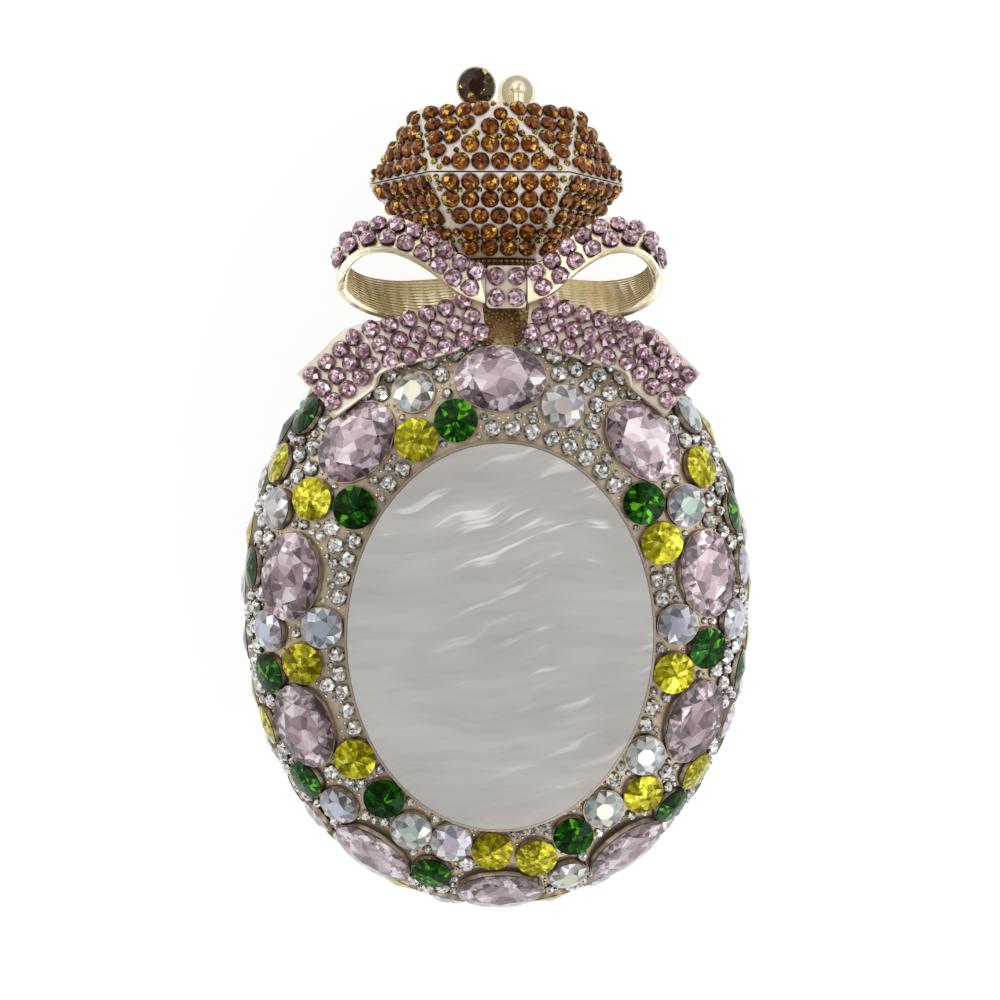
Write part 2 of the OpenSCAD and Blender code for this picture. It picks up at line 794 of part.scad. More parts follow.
module ribbon(stations, side, steps) {
    last = len(stations) - 1;
    rings = [for (k = [0 : steps])
        let (
            u = last * k / steps,
            a = edge_at(stations, 0, u),
            b = edge_at(stations, 1, u),
            n = ribbon_normal(stations, u, side),
            w = unit(b - a) * ribbon_bevel,
            h = n * ribbon_t / 2,
            c = n * (ribbon_t / 2 - ribbon_bevel)
        )
        [a + w + h, b - w + h, b + c, b - c, b - w - h, a + w - h, a - c, a + c]
    ];
    if (side > 0) loft([for (r = rings) [for (i = [len(r) - 1 : -1 : 0]) r[i]]]);
    else loft(rings);
}
loop_steps = 30;
tail_steps = 18;
module loop(side) {
    front() ribbon(loop_stations(side), side, loop_steps);
}
module tail(side) {
    front() ribbon(tail_stations(side), side, tail_steps);
}
// Stones in rows along a ribbon, from the knot to a share of its stations
pink_gap = 0.08;
bow_lift = 0.3;
bow_margin = 0.8;
function ribbon_seat(stations, side, u, shift) =
    (edge_at(stations, 0, u) + edge_at(stations, 1, u)) / 2
        + shift * ribbon_across(stations, u)
        + (ribbon_t / 2 + bow_lift) * ribbon_normal(stations, u, side);
module ribbon_stones(stations, side, reach_share, rows) {
    pitch = pink_d + pink_gap;
    last = reach_share * (len(stations) - 1);
    samples = [for (i = [0 : arc_steps]) last * i / arc_steps];
    for (row = [0 : rows - 1]) {
        shift = (row - (rows - 1) / 2) * pitch;
        table = run_table([for (u = samples) ribbon_seat(stations, side, u, shift)], samples);
        total = table[arc_steps][0] - pink_d - bow_margin;
        count = floor(total / pitch);
        for (k = [0 : count]) {
            run = bow_margin + pink_d / 2 + k * total / count;
            u = lookup(run, table);
            seat = ribbon_seat(stations, side, u, shift);
            n = ribbon_normal(stations, u, side);
            // In a hollow bend the stone's rim carries it
            rise = max([for (e = [-1, 1])
                (ribbon_seat(stations, side, lookup(run + e * pink_d / 2, table), shift) - seat) * n
            ]);
            place(seat + n * max(rise, 0), n, ribbon_across(stations, u)) small_stone(pink_d);
        }
    }
}

// Knot with a crowned front, two stones wide and two high
knot_depth = 7;
knot_crown_r = 14;
knot_round = 1.2;
knot_column_count = 2;
knot_row_count = 2;
module knot() {
    front() translate([knot_x, knot_y, knot_z]) intersection() {
        translate([0, 0, -knot_depth / 2]) linear_extrude(knot_depth)
            offset(knot_round) offset(-knot_round) square([knot_w, knot_l], center = true);
        translate([0, knot_l, knot_depth / 2 - knot_crown_r]) rotate([90, 0, 0])
            cylinder(h = 2 * knot_l, r = knot_crown_r);
    }
}
module knot_stones() {
    pitch = [knot_w / knot_column_count, knot_l / knot_row_count];
    front() translate([knot_x, knot_y, knot_z + knot_depth / 2 - knot_crown_r])
        for (c = [0 : knot_column_count - 1], r = [0 : knot_row_count - 1]) {
            lean = (c - (knot_column_count - 1) / 2) * pitch.x / knot_crown_r * 180 / PI;
            n = [sin(lean), 0, cos(lean)];
            place(n * (knot_crown_r + stone_lift) + [0, (r - (knot_row_count - 1) / 2) * pitch.y, 0],
                n, [0, 1, 0]) small_stone(pink_d);
        }
}
// Stud that joins the knot to the neck
bow_post_d = 4;
bow_post_l = 2.6;
module stud() {
    front() translate([0, knot_y + bow_post_d / 2, knot_z - knot_depth / 2 - bow_post_l])
        cylinder(h = bow_post_l, d = bow_post_d);
}

module rear_shell() { color(gold) rear() half_shell(); }
module rear_frame() { color(gold) rear() half_frame(rear_knuckle_ids, front_knuckle_ids); }
module rear_lining() { color(satin) rear() half_lining(); }
module rear_bezel() { color(gold) rear() half_bezel(); }
module rear_pearl() { color(pearl_white) rear() half_pearl(); }
module rear_neck() { color(dark_gold) rear() half_neck(); }
module rear_bead_band() { color(dark_gold) rear() half_bead_band(); }
module rear_stopper_base() { color(gold) rear() half_stopper_base(); }
module rear_stopper_crown() { color(gold) rear() half_stopper_crown(); }
module rear_knob() { color(gold) rear() half_knob(-knob_pitch / 2); }
module rear_knob_stone() { color(amber) rear() half_knob_stone(-knob_pitch / 2); }
module rear_knuckles() { color(gold) rear() knuckles(rear_knuckle_ids); }
module hinge_pin() { color(gold) rear() pin(); }
module rear_collets() { color(gold) rear() half_collets(); }
module rear_oval_stones() { color(rose) rear() half_ovals(); }
module rear_green_stones() { color(green) rear() half_rounds("G", point_table_share); }
module rear_yellow_stones() { color(yellow) rear() half_rounds("Y", point_table_share); }
module rear_aurora_stones() { color(aurora) rear() half_rounds("A", aurora_table_share); }
module rear_clear_stones() { color(crystal) rear() half_clear_stones(); }
module rear_base_stones() { color(amber) rear() half_base_stones(); }
module rear_crown_stones() { color(amber) rear() half_crown_stones(); }

module front_shell() { color(gold) front() half_shell(); }
module front_frame() { color(gold) front() half_frame(front_knuckle_ids, rear_knuckle_ids); }
module front_lining() { color(satin) front() half_lining(); }
module front_bezel() { color(gold) front() half_bezel(); }
module front_pearl() { color(pearl_white) front() half_pearl(); }
module front_neck() { color(dark_gold) front() half_neck(); }
module front_bead_band() { color(dark_gold) front() half_bead_band(); }
module front_stopper_base() { color(gold) front() half_stopper_base(); }
module front_stopper_crown() { color(gold) front() half_stopper_crown(); }
module front_knob() { color(gold) front() half_knob(knob_pitch / 2); }
module front_knob_stone() { color(amber) front() half_knob_stone(knob_pitch / 2); }
module front_knuckles() { color(gold) front() knuckles(front_knuckle_ids); }
module front_collets() { color(gold) front() half_collets(); }
module front_oval_stones() { color(rose) front() half_ovals(); }
module front_green_stones() { color(green) front() half_rounds("G", point_table_share); }
module front_yellow_stones() { color(yellow) front() half_rounds("Y", point_table_share); }
module front_aurora_stones() { color(aurora) front() half_rounds("A", aurora_table_share); }
module front_clear_stones() { color(crystal) front() half_clear_stones(); }
module front_base_stones() { color(amber) front() half_base_stones(); }
module front_crown_stones() { color(amber) front() half_crown_stones(); }

loop_stone_share = 0.49;
loop_row_count = 2;
tail_row_count = 3;
module bow_post() { color(gold) stud(); }
module bow_knot() { color(gold) knot(); }
module bow_left_loop() { color(gold) loop(-1); }
module bow_right_loop() { color(gold) loop(1); }
module bow_left_tail() { color(gold) tail(-1); }
module bow_right_tail() { color(gold) tail(1); }
module bow_loop_stones() {
    color(pink) front() for (side = [-1, 1])
        ribbon_stones(loop_stations(side), side, loop_stone_share, loop_row_count);
}
module bow_tail_stones() {
    color(pink) front() for (side = [-1, 1])
        ribbon_stones(tail_stations(side), side, 1, tail_row_count);
}
module bow_knot_stones() { color(pink) knot_stones(); }

rear_shell();
rear_frame();
rear_lining();
rear_bezel();
rear_pearl();
rear_neck();
rear_bead_band();
rear_stopper_base();
rear_stopper_crown();
rear_knob();
rear_knob_stone();
rear_knuckles();
hinge_pin();
rear_collets();
rear_oval_stones();
rear_green_stones();
rear_yellow_stones();
rear_aurora_stones();
rear_clear_stones();
rear_base_stones();
rear_crown_stones();
front_shell();
front_frame();
front_lining();
front_bezel();
front_pearl();
front_neck();
front_bead_band();
front_stopper_base();
front_stopper_crown();
front_knob();
front_knob_stone();
front_knuckles();
front_collets();
front_oval_stones();
front_green_stones();
front_yellow_stones();
front_aurora_stones();
front_clear_stones();
front_base_stones();
front_crown_stones();
bow_post();
bow_knot();
bow_left_loop();
bow_right_loop();
bow_left_tail();
bow_right_tail();
bow_loop_stones();
bow_tail_stones();
bow_knot_stones();
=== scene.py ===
import math

import bpy
import numpy as np
from mathutils import Matrix, Vector
from mathutils.bvhtree import BVHTree


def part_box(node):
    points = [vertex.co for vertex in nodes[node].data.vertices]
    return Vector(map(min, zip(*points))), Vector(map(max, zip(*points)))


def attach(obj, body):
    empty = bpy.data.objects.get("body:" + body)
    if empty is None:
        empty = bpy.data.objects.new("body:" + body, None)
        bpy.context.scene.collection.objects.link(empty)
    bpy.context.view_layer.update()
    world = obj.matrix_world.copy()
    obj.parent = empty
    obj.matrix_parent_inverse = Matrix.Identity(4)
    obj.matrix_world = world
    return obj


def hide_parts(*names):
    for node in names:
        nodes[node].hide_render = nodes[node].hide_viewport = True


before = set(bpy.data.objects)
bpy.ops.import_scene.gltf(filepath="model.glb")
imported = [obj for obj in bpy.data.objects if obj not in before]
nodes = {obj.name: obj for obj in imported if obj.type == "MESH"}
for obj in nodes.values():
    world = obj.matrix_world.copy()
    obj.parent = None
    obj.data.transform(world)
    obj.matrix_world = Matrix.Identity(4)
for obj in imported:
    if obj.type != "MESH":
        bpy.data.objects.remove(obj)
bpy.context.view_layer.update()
MM = 0.001
HALVES = ("rear", "front")
BODY = {"rear": "rear_half", "front": "front_half"}
# A point on the plane where the halves meet
PARTING = np.array([0, 0, 27 * MM])
# How much more of its painted aurora sheen a stone's table shows
TABLE_TINT = 0.35
rng = np.random.default_rng(11)


def add_object(name, data):
    o = bpy.data.objects.new(name, data)
    bpy.context.scene.collection.objects.link(o)
    return o


# Materials
def new_material(name):
    m = bpy.data.materials.new(name)
    m.use_nodes = True
    t = m.node_tree
    bsdf = t.nodes["Principled BSDF"]
    return m, t, bsdf


def link(t, a, b):
    t.links.new(a, b)


def node(t, kind, **inputs):
    n = t.nodes.new(kind)
    for k, v in inputs.items():
        n.inputs[k.replace("_", " ")].default_value = v
    return n


def ramp(t, stops, interpolation="LINEAR"):
    n = t.nodes.new("ShaderNodeValToRGB")
    n.color_ramp.interpolation = interpolation
    while len(n.color_ramp.elements) < len(stops):
        n.color_ramp.elements.new(0.5)
    for e, (p, c) in zip(n.color_ramp.elements, stops):
        e.position = p
        e.color = (*c, 1)
    return n


def bump_from(t, bsdf, height, strength, distance):
    b = node(t, "ShaderNodeBump", Strength=strength, Distance=distance)
    link(t, height, b.inputs["Height"])
    link(t, b.outputs["Normal"], bsdf.inputs["Normal"])
    return b


def coords(t):
    """The object's own coordinates, in metres."""
    c = t.nodes.new("ShaderNodeTexCoord")
    return c.outputs["Object"]


def math_node(t, operation, *values):
    """Result of a math node. Each value is a number or another node's output."""
    n = t.nodes.new("ShaderNodeMath")
    n.operation = operation
    for socket, value in zip(n.inputs, values):
        if isinstance(value, (int, float)):
            socket.default_value = value
        else:
            link(t, value, socket)
    return n.outputs[0]


def multiplied(t, a, b, factor):
    """Colour a multiplied by colour b, as far as the factor goes."""
    n = t.nodes.new("ShaderNodeMix")
    n.data_type = "RGBA"
    n.blend_type = "MULTIPLY"
    if isinstance(factor, float):
        n.inputs["Factor"].default_value = factor
    else:
        link(t, factor, n.inputs["Factor"])
    link(t, a, n.inputs[6])
    link(t, b, n.inputs[7])
    return n.outputs[2]


def gold_material(name, light, dark, roughness, grain, bump=0.15, metallic=1.0, painted_shade_reach=0.0009):
    """Plated cast metal: colour and gloss drift a little, with a fine cast grain
    and painted shade, a thin dark line where stones and metal meet and in other narrow gaps."""
    m, t, b = new_material(name)
    v = coords(t)
    large = node(t, "ShaderNodeTexNoise", Scale=90.0, Detail=3.0)
    fine = node(t, "ShaderNodeTexNoise", Scale=grain, Detail=4.0)
    for n in (large, fine):
        link(t, v, n.inputs["Vector"])
    c = ramp(t, [(0.3, dark), (0.7, light)])
    link(t, large.outputs["Fac"], c.inputs["Fac"])
    # Painted shade: the colour darkens in narrow gaps, found by ambient occlusion
    painted_shade_ao = node(t, "ShaderNodeAmbientOcclusion", Distance=painted_shade_reach)
    painted_shade_ao.samples = 6
    shade = ramp(t, [(0.2, tuple(x * 0.35 for x in dark)), (0.72, (1, 1, 1))])
    link(t, painted_shade_ao.outputs["AO"], shade.inputs["Fac"])
    link(t, multiplied(t, c.outputs["Color"], shade.outputs["Color"], 0.8), b.inputs["Base Color"])
    r = node(t, "ShaderNodeMapRange")
    r.inputs["To Min"].default_value = roughness - 0.06
    r.inputs["To Max"].default_value = roughness + 0.09
    link(t, fine.outputs["Fac"], r.inputs["Value"])
    link(t, r.outputs["Result"], b.inputs["Roughness"])
    b.inputs["Metallic"].default_value = metallic
    bump_from(t, b, fine.outputs["Fac"], bump, 0.0001)
    return m


def gem_material(name, stops, painted_glint_cells, metallic=0.4, roughness=0.06, painted_sheen_ramp=None, painted_sheen_amount=0.0,
                 coat=0.6, specular=0.5):
    """Foiled crystal with painted reflections: each facet has its own painted share of dark
    and light, and small sharp cells are painted glints that stand for the back facets
    reflecting through the front. Cells are given as scale and strength on the table, then scale and strength
    around it."""
    m, t, b = new_material(name)
    a = t.nodes.new("ShaderNodeAttribute")
    a.attribute_name = "facet"
    s = t.nodes.new("ShaderNodeSeparateColor")
    link(t, a.outputs["Color"], s.inputs["Color"])
    v = coords(t)
    light = []
    for scale, painted_flash in painted_glint_cells:
        cell = node(t, "ShaderNodeTexVoronoi", Scale=scale)
        link(t, v, cell.inputs["Vector"])
        cs = t.nodes.new("ShaderNodeSeparateColor")
        link(t, cell.outputs["Color"], cs.inputs["Color"])
        lower = math_node(t, "SUBTRACT", s.outputs["Red"], painted_flash / 2)
        light.append(math_node(t, "MULTIPLY_ADD", cs.outputs["Red"], painted_flash, lower))
    pick = node(t, "ShaderNodeMix")
    link(t, s.outputs["Blue"], pick.inputs["Factor"])
    link(t, light[1], pick.inputs[2])
    link(t, light[0], pick.inputs[3])
    c = ramp(t, stops)
    link(t, pick.outputs[0], c.inputs["Fac"])
    out = c.outputs["Color"]
    # The aurora stones' rainbow sheen is painted into the colour as fixed tints, one to a facet
    if painted_sheen_ramp:
        tc = ramp(t, painted_sheen_ramp)
        link(t, s.outputs["Green"], tc.inputs["Fac"])
        amount = math_node(t, "MULTIPLY_ADD", s.outputs["Blue"], TABLE_TINT, painted_sheen_amount)
        out = multiplied(t, out, tc.outputs["Color"], amount)
    link(t, out, b.inputs["Base Color"])
    b.inputs["Metallic"].default_value = metallic
    b.inputs["Roughness"].default_value = roughness
    b.inputs["IOR"].default_value = 1.6
    b.inputs["Specular IOR Level"].default_value = specular
    b.inputs["Coat Weight"].default_value = coat
    b.inputs["Coat Roughness"].default_value = 0.02
    b.inputs["Coat IOR"].default_value = 1.5
    return m


def lying(t, vector, length, angle):
    """Coordinates for a texture drawn out along X and turned by the angle."""
    m = node(t, "ShaderNodeMapping")
    m.vector_type = "TEXTURE"
    m.inputs["Scale"].default_value = (length, 1.0, 3.0)
    m.inputs["Rotation"].default_value = (0, 0, math.radians(angle))
    link(t, vector, m.inputs["Vector"])
    return m.outputs["Vector"]


def pearl_material():
    """Mother-of-pearl: a calm grey sheet with fine level lines, and painted glints:
    short bright slanting highlights in a soft painted sheen, strongest in its upper right where the light
    falls."""
    m, t, b = new_material("mother_of_pearl")
    v = coords(t)
    warp = node(t, "ShaderNodeTexNoise", Scale=40.0, Detail=2.0)
    link(t, v, warp.inputs["Vector"])
    push = node(t, "ShaderNodeVectorMath")
    push.operation = "MULTIPLY_ADD"
    push.inputs[1].default_value = (0.006, 0.012, 0.006)
    link(t, warp.outputs["Color"], push.inputs[0])
    link(t, v, push.inputs[2])
    moved = push.outputs["Vector"]

    def noise(scale, detail, length, angle, roughness=0.5):
        n = node(t, "ShaderNodeTexNoise", Scale=scale, Detail=detail, Roughness=roughness)
        link(t, lying(t, moved, length, angle), n.inputs["Vector"])
        return n.outputs["Fac"]

    def times_plus(a, share, b):
        return math_node(t, "MULTIPLY_ADD", a, share, b)

    def product(a, b):
        return math_node(t, "MULTIPLY", a, b)

    def above(value, low, high):
        n = ramp(t, [(low, (0, 0, 0)), (high, (1, 1, 1))], "EASE")
        link(t, value, n.inputs["Fac"])
        return n.outputs["Color"]

    sheet = times_plus(noise(95.0, 2.0, 3.0, 6), 0.55, 0.0)
    lines = times_plus(noise(760.0, 4.0, 13.0, 3, 0.6), 0.30, sheet)
    sep = t.nodes.new("ShaderNodeSeparateXYZ")
    link(t, v, sep.inputs[0])
    # Painted light: the glints and their sheen grow stronger towards the upper right, where light falls
    lit_upper_right = times_plus(sep.outputs["X"], 7.0, times_plus(sep.outputs["Y"], 7.0, 0.52))
    where = product(above(noise(48.0, 1.0, 1.0, 0), 0.40, 0.58), above(lit_upper_right, 0.15, 0.75))
    painted_glint = product(above(noise(430.0, 2.0, 7.0, 17, 0.45), 0.57, 0.68), where)
    painted_sheen = product(above(noise(190.0, 2.0, 5.0, 15), 0.50, 0.72), where)
    tone = times_plus(painted_glint, 0.42, times_plus(painted_sheen, 0.14, lines))
    c = ramp(t, [(0.28, (0.485, 0.48, 0.462)), (0.42, (0.565, 0.56, 0.538)),
                 (0.56, (0.64, 0.635, 0.612)), (0.72, (0.79, 0.785, 0.77)), (0.88, (0.95, 0.95, 0.94))])
    link(t, tone, c.inputs["Fac"])
    blush = ramp(t, [(0.40, (1, 1, 1)), (0.66, (1.0, 0.95, 0.93))])
    link(t, noise(36.0, 1.0, 1.0, 0), blush.inputs["Fac"])
    link(t, multiplied(t, c.outputs["Color"], blush.outputs["Color"], 0.8), b.inputs["Base Color"])
    b.inputs["Roughness"].default_value = 0.3
    b.inputs["Coat Weight"].default_value = 0.6
    b.inputs["Coat Roughness"].default_value = 0.08
    bump_from(t, b, lines, 0.1, 0.0002)
    return m


def satin_material():
    """Woven satin of the linings, with the shade of soft folds painted into its colour as darker and lighter
    patches.
    """
    m, t, b = new_material("satin")
    v = coords(t)
    weave = node(t, "ShaderNodeTexWave", Scale=900.0, Distortion=0.6)
    painted_fold_shade = node(t, "ShaderNodeTexNoise", Scale=60.0, Detail=3.0)
    for n in (weave, painted_fold_shade):
        link(t, v, n.inputs["Vector"])
    c = ramp(t, [(0.3, (0.50, 0.42, 0.33)), (0.7, (0.66, 0.57, 0.46))])
    link(t, painted_fold_shade.outputs["Fac"], c.inputs["Fac"])
    link(t, c.outputs["Color"], b.inputs["Base Color"])
    b.inputs["Roughness"].default_value = 0.45
    b.inputs["Sheen Weight"].default_value = 0.4
    b.inputs["Sheen Roughness"].default_value = 0.4
    bump_from(t, b, weave.outputs["Fac"], 0.2, 0.00005)
    return m


gold = gold_material("champagne_gold", (0.80, 0.69, 0.55), (0.64, 0.52, 0.39), 0.24, 2600.0)
# Collet rims darker than the gold: partly their own rose tone, partly painted shade for the dark outline
# round the stones
shaded_collet_gold = gold_material("shaded_collet_gold", (0.60, 0.48, 0.38), (0.40, 0.30, 0.22), 0.34, 2600.0)
cast_gold = gold_material("cast_gold", (0.73, 0.61, 0.46), (0.49, 0.38, 0.26), 0.42, 1900.0, 0.5, 0.75)
prong_gold = gold_material("prong_gold", (0.88, 0.77, 0.60), (0.70, 0.57, 0.40), 0.25, 2600.0)
ribbon_gold = gold_material("ribbon_gold", (0.97, 0.88, 0.65), (0.78, 0.66, 0.43), 0.28, 2200.0, 0.4)
bow_gold = gold_material("bow_gold", (0.84, 0.73, 0.60), (0.70, 0.59, 0.46), 0.42, 2200.0, 0.4, 0.7)
stopper_gold = gold_material("stopper_gold", (0.98, 0.90, 0.81), (0.92, 0.82, 0.71), 0.38, 2200.0,
                             0.4, 0.35, 0.0004)
# Dark bronze gold of the neck and bead band: partly its own tone, partly painted shade where the bow shades
# the neck
dark_gold = gold_material("bronze_gold_painted_shade", (0.50, 0.36, 0.19), (0.30, 0.20, 0.09), 0.3, 3200.0, 0.3)
pearl = pearl_material()
satin = satin_material()
# Painted rainbow sheen of the aurora coating, as fixed tints on the facets
AURORA_PAINTED_SHEEN = [(0.0, (0.86, 0.72, 1.0)), (0.2, (0.66, 0.76, 1.0)), (0.4, (0.68, 0.98, 0.86)),
          (0.6, (0.98, 0.97, 0.60)), (0.8, (1.0, 0.86, 0.74)), (1.0, (0.86, 0.72, 1.0))]
# Each ramp holds a stone's own colour in its middle, with painted shade at its dark end and painted glints
# at its bright end
gems = {
    "oval_stones": gem_material("rose_stone", [(0.0, (0.05, 0.028, 0.034)), (0.28, (0.18, 0.122, 0.138)),
                                               (0.5, (0.36, 0.255, 0.28)), (0.74, (0.57, 0.445, 0.48)),
                                               (0.97, (0.90, 0.81, 0.845))], [(330, 0.4), (900, 0.75)]),
    "green_stones": gem_material("green_stone", [(0.05, (0.0006, 0.008, 0.0002)),
                                                 (0.5, (0.003, 0.036, 0.001)),
                                                 (0.8, (0.014, 0.13, 0.002)), (0.97, (0.16, 0.55, 0.03))],
                                 [(1000, 0.6), (1000, 0.6)], 0.3, coat=0.08, specular=0.08),
    "yellow_stones": gem_material("yellow_stone", [(0.05, (0.11, 0.095, 0.001)), (0.42, (0.32, 0.28, 0.002)),
                                                   (0.72, (0.56, 0.51, 0.004)), (0.95, (0.95, 0.92, 0.12))],
                                  [(1300, 0.65), (1300, 0.65)], 0.5, coat=0.15, specular=0.12),
    "aurora_stones": gem_material("aurora_stone", [(0.05, (0.12, 0.12, 0.13)), (0.45, (0.38, 0.38, 0.39)),
                                                   (0.75, (0.62, 0.62, 0.63)), (0.97, (0.95, 0.95, 0.95))],
                                  [(120, 0.2), (600, 0.35)], painted_sheen_ramp=AURORA_PAINTED_SHEEN, painted_sheen_amount=0.4),
    "clear_stones": gem_material("clear_stone", [(0.05, (0.05, 0.048, 0.043)), (0.3, (0.23, 0.225, 0.205)),
                                                 (0.6, (0.58, 0.575, 0.545)), (0.80, (1, 1, 0.97))],
                                 [(1500, 0.45), (1500, 0.45)]),
    "amber_stones": gem_material("amber_stone", [(0.05, (0.022, 0.005, 0.0006)),
                                                 (0.45, (0.14, 0.034, 0.0025)),
                                                 (0.8, (0.27, 0.076, 0.005)), (0.95, (0.42, 0.16, 0.012)),
                                                 (1.0, (0.92, 0.55, 0.08))],
                                 [(1100, 0.4), (1100, 0.4)], coat=0.15, specular=0.12),
    "knob_stone": gem_material("knob_stone", [(0.05, (0.006, 0.002, 0.0006)), (0.55, (0.040, 0.013, 0.0015)),
                                              (0.85, (0.15, 0.06, 0.006)), (0.99, (0.90, 0.60, 0.10))],
                               [(400, 0.3), (900, 0.6)], coat=0.25, specular=0.25),
    "olive_stones": gem_material("olive_stone", [(0.05, (0.03, 0.016, 0.001)), (0.45, (0.13, 0.075, 0.004)),
                                                 (0.75, (0.28, 0.19, 0.010)), (0.97, (0.90, 0.75, 0.16))],
                                 [(1300, 0.5), (1300, 0.5)], coat=0.3, specular=0.2),
    "pink_stones": gem_material("pink_stone", [(0.05, (0.07, 0.024, 0.036)), (0.45, (0.27, 0.115, 0.155)),
                                               (0.75, (0.50, 0.28, 0.34)), (0.97, (0.95, 0.78, 0.84))],
                                [(1300, 0.45), (1300, 0.45)]),
}


# Cut stones
def cut(n, table, mid_r, mid_z, low, high, seat, pattern, rest=1.0, edge=0.3):
    """Unit stone, radius 1 and height 1: a fan over the table, star facets,
    kites, girdle halves, the girdle, the back and the seat. Each face gets a
    share of painted light, standing for its reflections and glints, from the pattern and a mark that tells
    the table's faces.
    A stone with rest below 1 lies on its collet's rim: its underside is flat
    from the girdle in to that share of the radius."""
    def ring(k, r, z, off):
        turns = [(i + off) * 2 * math.pi / k for i in range(k)]
        return [(r * math.cos(g), r * math.sin(g), z) for g in turns]

    v = [(0, 0, 1)]
    inner = len(v)
    v += ring(n, table * 0.52, 1, 0.5)
    t = len(v)
    v += ring(n, table, 1, 0)
    m = len(v)
    v += ring(n, mid_r, mid_z, 0.5)
    g = len(v)
    v += ring(2 * n, 1, high, 0)
    h = len(v)
    v += ring(2 * n, 1, low, 0)
    u = len(v) if rest < 1 else h
    if rest < 1:
        v += ring(2 * n, rest, low, 0)
    s = len(v)
    v += ring(2 * n, seat, 0, 0)
    f, w = [], []
    for i in range(n):
        j, p = (i + 1) % n, (i - 1) % n
        f.append((0, inner + p, inner + i))
        w.append(pattern[0][i % len(pattern[0])])
        f.append((inner + p, t + i, inner + i))
        w.append(pattern[1][i % len(pattern[1])])
        f.append((inner + i, t + i, t + j))
        w.append(pattern[2][i % len(pattern[2])])
        f.append((t + i, m + i, t + j))
        w.append(pattern[3][i % len(pattern[3])])
        f.append((t + i, m + p, g + 2 * i, m + i))
        w.append(pattern[4][i % len(pattern[4])])
        f.append((m + i, g + 2 * i, g + 2 * i + 1))
        w.append(pattern[5][i % len(pattern[5])])
        f.append((m + i, g + 2 * i + 1, g + (2 * i + 2) % (2 * n)))
        w.append(pattern[5][(i + 1) % len(pattern[5])])
    for i in range(2 * n):
        j = (i + 1) % (2 * n)
        f.append((g + i, h + i, h + j, g + j))
        w.append(edge)
        if rest < 1:
            f.append((h + i, u + i, u + j, h + j))
            w.append(0.1)
        f.append((u + i, s + i, s + j, u + j))
        w.append(0.15)
    f.append(tuple(s + i for i in range(2 * n - 1, -1, -1)))
    w.append(0.1)
    mark = [1.0 if i < 7 * n and i % 7 < 3 else 0.0 for i in range(len(f))]
    return np.array(v), f, w, np.array(mark)


ROUND = cut(8, 0.10, 0.56, 0.80, 0.46, 0.56, 0.56,
            [[0.75], [0.7], [0.75], [0.7, 0.4], [0.38, 0.72, 0.5, 0.62], [0.5, 0.3, 0.65]], 0.905, 0.15)
TABLED = cut(8, 0.44, 0.72, 0.80, 0.46, 0.56, 0.57,
             [[0.86], [0.86], [0.86], [0.3, 0.75], [0.7, 0.35, 0.85, 0.5], [0.3, 0.75, 0.15, 0.55]],
             0.935, 0.15)
OVAL = cut(8, 0.60, 0.80, 0.78, 0.46, 0.56, 0.58,
           [[0.72, 0.72, 0.42, 0.42, 0.66, 0.66, 0.6, 0.6], [0.72, 0.66, 0.42, 0.3, 0.66, 0.72, 0.6, 0.38],
            [0.78, 0.55, 0.4, 0.68], [0.28, 0.55, 0.85], [0.7, 0.28, 0.55, 0.4], [0.4, 0.06, 0.25, 0.12]],
           0.93, 0.05)
KNOB = cut(8, 0.45, 0.76, 0.90, 0.67, 0.75, 0.7,
           [[0.45], [0.4], [0.5], [0.3, 0.85], [0.4, 0.2, 0.65], [0.8, 0.3, 0.2]], 0.86)
SMALL = cut(6, 0.50, 0.76, 0.72, 0.12, 0.30, 0.9,
            [[0.95, 0.3, 0.7], [0.5, 0.85], [0.25, 0.9, 0.6],
             [0.2, 0.8], [0.9, 0.45, 0.6], [0.3, 0.65, 0.15]])


def prong():
    """Unit prong, a low six-sided button, told in the same way as a cut stone."""
    hexagon = [(math.cos(i * math.pi / 3), math.sin(i * math.pi / 3)) for i in range(6)]
    verts = [(0, 0, 1)]
    verts += [(0.7 * x, 0.7 * y, 0.75) for x, y in hexagon]
    verts += [(x, y, 0) for x, y in hexagon]
    faces = [(0, 1 + i, 1 + (i + 1) % 6) for i in range(6)]
    faces += [(1 + i, 7 + i, 7 + (i + 1) % 6, 1 + (i + 1) % 6) for i in range(6)]
    faces += [(12, 11, 10, 9, 8, 7)]
    return np.array(verts), faces, [0.5] * len(faces), np.zeros(len(faces))


PRONG = prong()
KIND = {"oval_stones": OVAL, "green_stones": ROUND, "yellow_stones": ROUND, "aurora_stones": TABLED,
        "clear_stones": SMALL, "base_stones": SMALL, "crown_stones": SMALL, "knob_stone": KNOB}
# How much the painted light on the facets of a stone's table differs; 1 where it isn't given
CALM = {"oval_stones": 0.4, "aurora_stones": 0.1}
# How far a stone laps over the rim of its collet or cup, in millimetres
LAP = {"oval_stones": 0.36, "green_stones": 0.36, "yellow_stones": 0.36, "aurora_stones": 0.24,
       "knob_stone": 0.5, "base_stones": 0.05, "crown_stones": 0.05, "clear_stones": 0.05}
BOW_LAP = 0.05
LOOK = {"base_stones": "amber_stones", "crown_stones": "amber_stones"}
SLOT = {"oval_stones": "rose_stone", "green_stones": "green_stone", "yellow_stones": "yellow_stone",
        "aurora_stones": "aurora_stone", "clear_stones": "clear_stone", "amber_stones": "amber_stone",
        "knob_stone": "amber_stone"}


